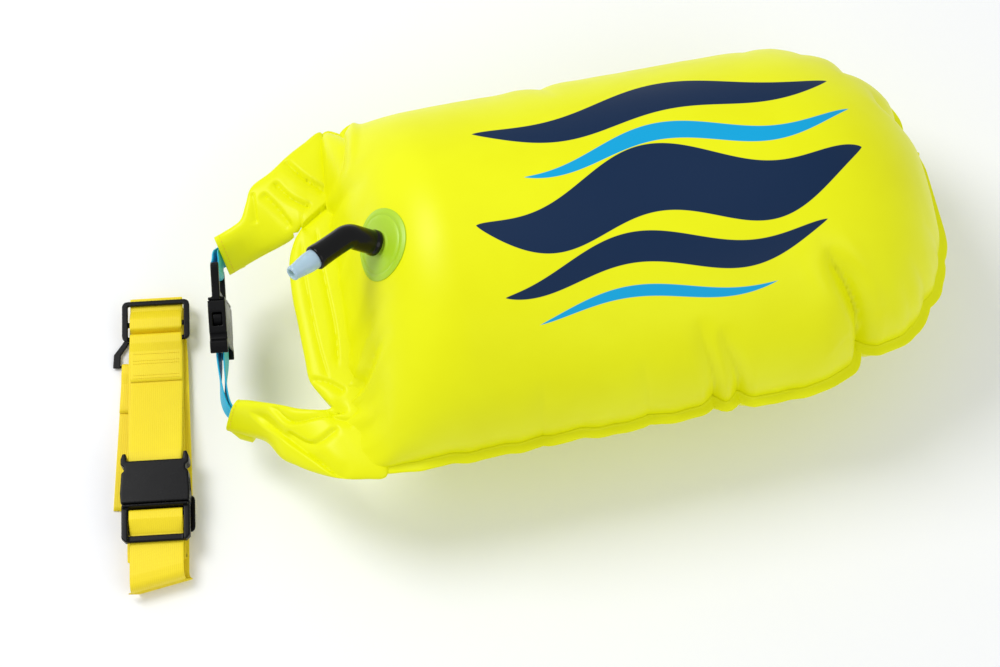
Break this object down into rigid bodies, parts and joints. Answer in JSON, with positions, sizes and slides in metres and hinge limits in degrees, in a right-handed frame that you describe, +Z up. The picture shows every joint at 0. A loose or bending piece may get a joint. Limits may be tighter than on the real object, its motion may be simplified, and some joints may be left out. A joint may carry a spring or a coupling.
{
  "type": "open water swim buoy",
  "caption": "Inflated dry bag tow float whose rolled mouth is clipped into a carry loop, with an oral inflation valve and a folded waist belt with a side release clip.",
  "frame": {"origin": "on the flat patch of the belly that the bag lies on, 222.5 mm from the mouth's edge", "axes": "+X along the bag towards its welded closed end, +Z up; the rolled mouth and the belt lie towards -X"},
  "size_m": [0.6462, 0.3004, 0.221],
  "materials": {
    "bag_sheet": "satin fluorescent yellow sheet",
    "batten": "plain",
    "cyan_webbing": "woven",
    "yellow_webbing": "woven",
    "black_plastic": "satin moulded",
    "black_rubber": "satin",
    "flange_plastic": "translucent soft sheet",
    "pale_plastic": "translucent",
    "spring_steel": "bright"
  },
  "bodies": {
    "bag": {"bag_top_panel": "bag_sheet", "bag_bottom_panel": "bag_sheet", "perimeter_weld": "bag_sheet", "roll_band": "bag_sheet", "mouth_stiffener": "batten", "roll_end_upper": "bag_sheet", "roll_end_lower": "bag_sheet", "tab_lower": "cyan_webbing", "mouth_clip_body": "black_plastic", "valve_flange": "flange_plastic", "valve_sleeve": "black_rubber", "valve_seat": "black_plastic", "valve_spring": "spring_steel"},
    "mouth_insert": {"mouth_clip_insert": "black_plastic", "tab_upper": "cyan_webbing"},
    "mouth_prong_left": {"mouth_clip_prong_left": "black_plastic"},
    "mouth_prong_right": {"mouth_clip_prong_right": "black_plastic"},
    "nozzle": {"mouthpiece": "pale_plastic", "valve_poppet": "black_plastic", "valve_seal": "black_rubber"},
    "belt": {"belt_strap_top": "yellow_webbing", "belt_strap_lower": "yellow_webbing", "belt_slide": "black_plastic", "belt_keeper_slide": "black_plastic", "belt_clip_body": "black_plastic", "leash_strap": "yellow_webbing"},
    "belt_insert": {"belt_clip_insert": "black_plastic", "belt_strap_front": "yellow_webbing"},
    "belt_prong_left": {"belt_clip_prong_left": "black_plastic"},
    "belt_prong_right": {"belt_clip_prong_right": "black_plastic"},
    "ring": {"leash_ring": "black_plastic"}
  },
  "joints": [
    {"name": "mouth_clip_release", "type": "slide", "parent": "bag", "child": "mouth_insert", "axis": [0.1197, 0.961, 0.2495], "range_m": [0, 0.03], "deforming": ["roll_end_upper", "mouth_clip_prong_left", "mouth_clip_prong_right"]},
    {"name": "mouth_prong_left_squeeze", "type": "hinge", "parent": "mouth_insert", "child": "mouth_prong_left", "pos_m": [-0.31894, 0.03448, 0.05297], "axis": [-0.9923, 0.1237, 0], "range_deg": [0, 11], "stiffness_Nm_per_rad": 0.5},
    {"name": "mouth_prong_right_squeeze", "type": "hinge", "parent": "mouth_insert", "child": "mouth_prong_right", "pos_m": [-0.32006, 0.02552, 0.08803], "axis": [0.9923, -0.1237, 0], "range_deg": [0, 11], "stiffness_Nm_per_rad": 0.5},
    {"name": "mouthpiece_push", "type": "slide", "parent": "bag", "child": "nozzle", "axis": [0.8197, 0.5123, -0.2562], "range_m": [0, 0.004], "stiffness_N_per_m": 400, "deforming": ["valve_spring"]},
    {"name": "belt_lift", "type": "slide", "parent": "bag", "child": "belt", "axis": [0, 0, 1], "range_m": [0, 0.25]},
    {"name": "belt_clip_release", "type": "slide", "parent": "belt", "child": "belt_insert", "axis": [-0.1374, -0.9905, 0], "range_m": [0, 0.03], "deforming": ["belt_clip_prong_left", "belt_clip_prong_right"]},
    {"name": "belt_prong_left_squeeze", "type": "hinge", "parent": "belt_insert", "child": "belt_prong_left", "pos_m": [-0.41108, -0.09579, 0.0212], "axis": [0, 0, -1], "range_deg": [0, 11], "stiffness_Nm_per_rad": 0.5},
    {"name": "belt_prong_right_squeeze", "type": "hinge", "parent": "belt_insert", "child": "belt_prong_right", "pos_m": [-0.37523, -0.10076, 0.0212], "axis": [0, 0, 1], "range_deg": [0, 11], "stiffness_Nm_per_rad": 0.5},
    {"name": "leash_ring_swing", "type": "hinge", "parent": "belt", "child": "ring", "pos_m": [-0.38473, 0.01919, 0.0025], "axis": [-0.9803, 0.1977, 0], "range_deg": [0, 120]}
  ],
  "couplings": [
    {"joint": "mouth_prong_right_squeeze", "follows": "mouth_prong_left_squeeze", "ratio": 1},
    {"joint": "belt_prong_right_squeeze", "follows": "belt_prong_left_squeeze", "ratio": 1}
  ]
}
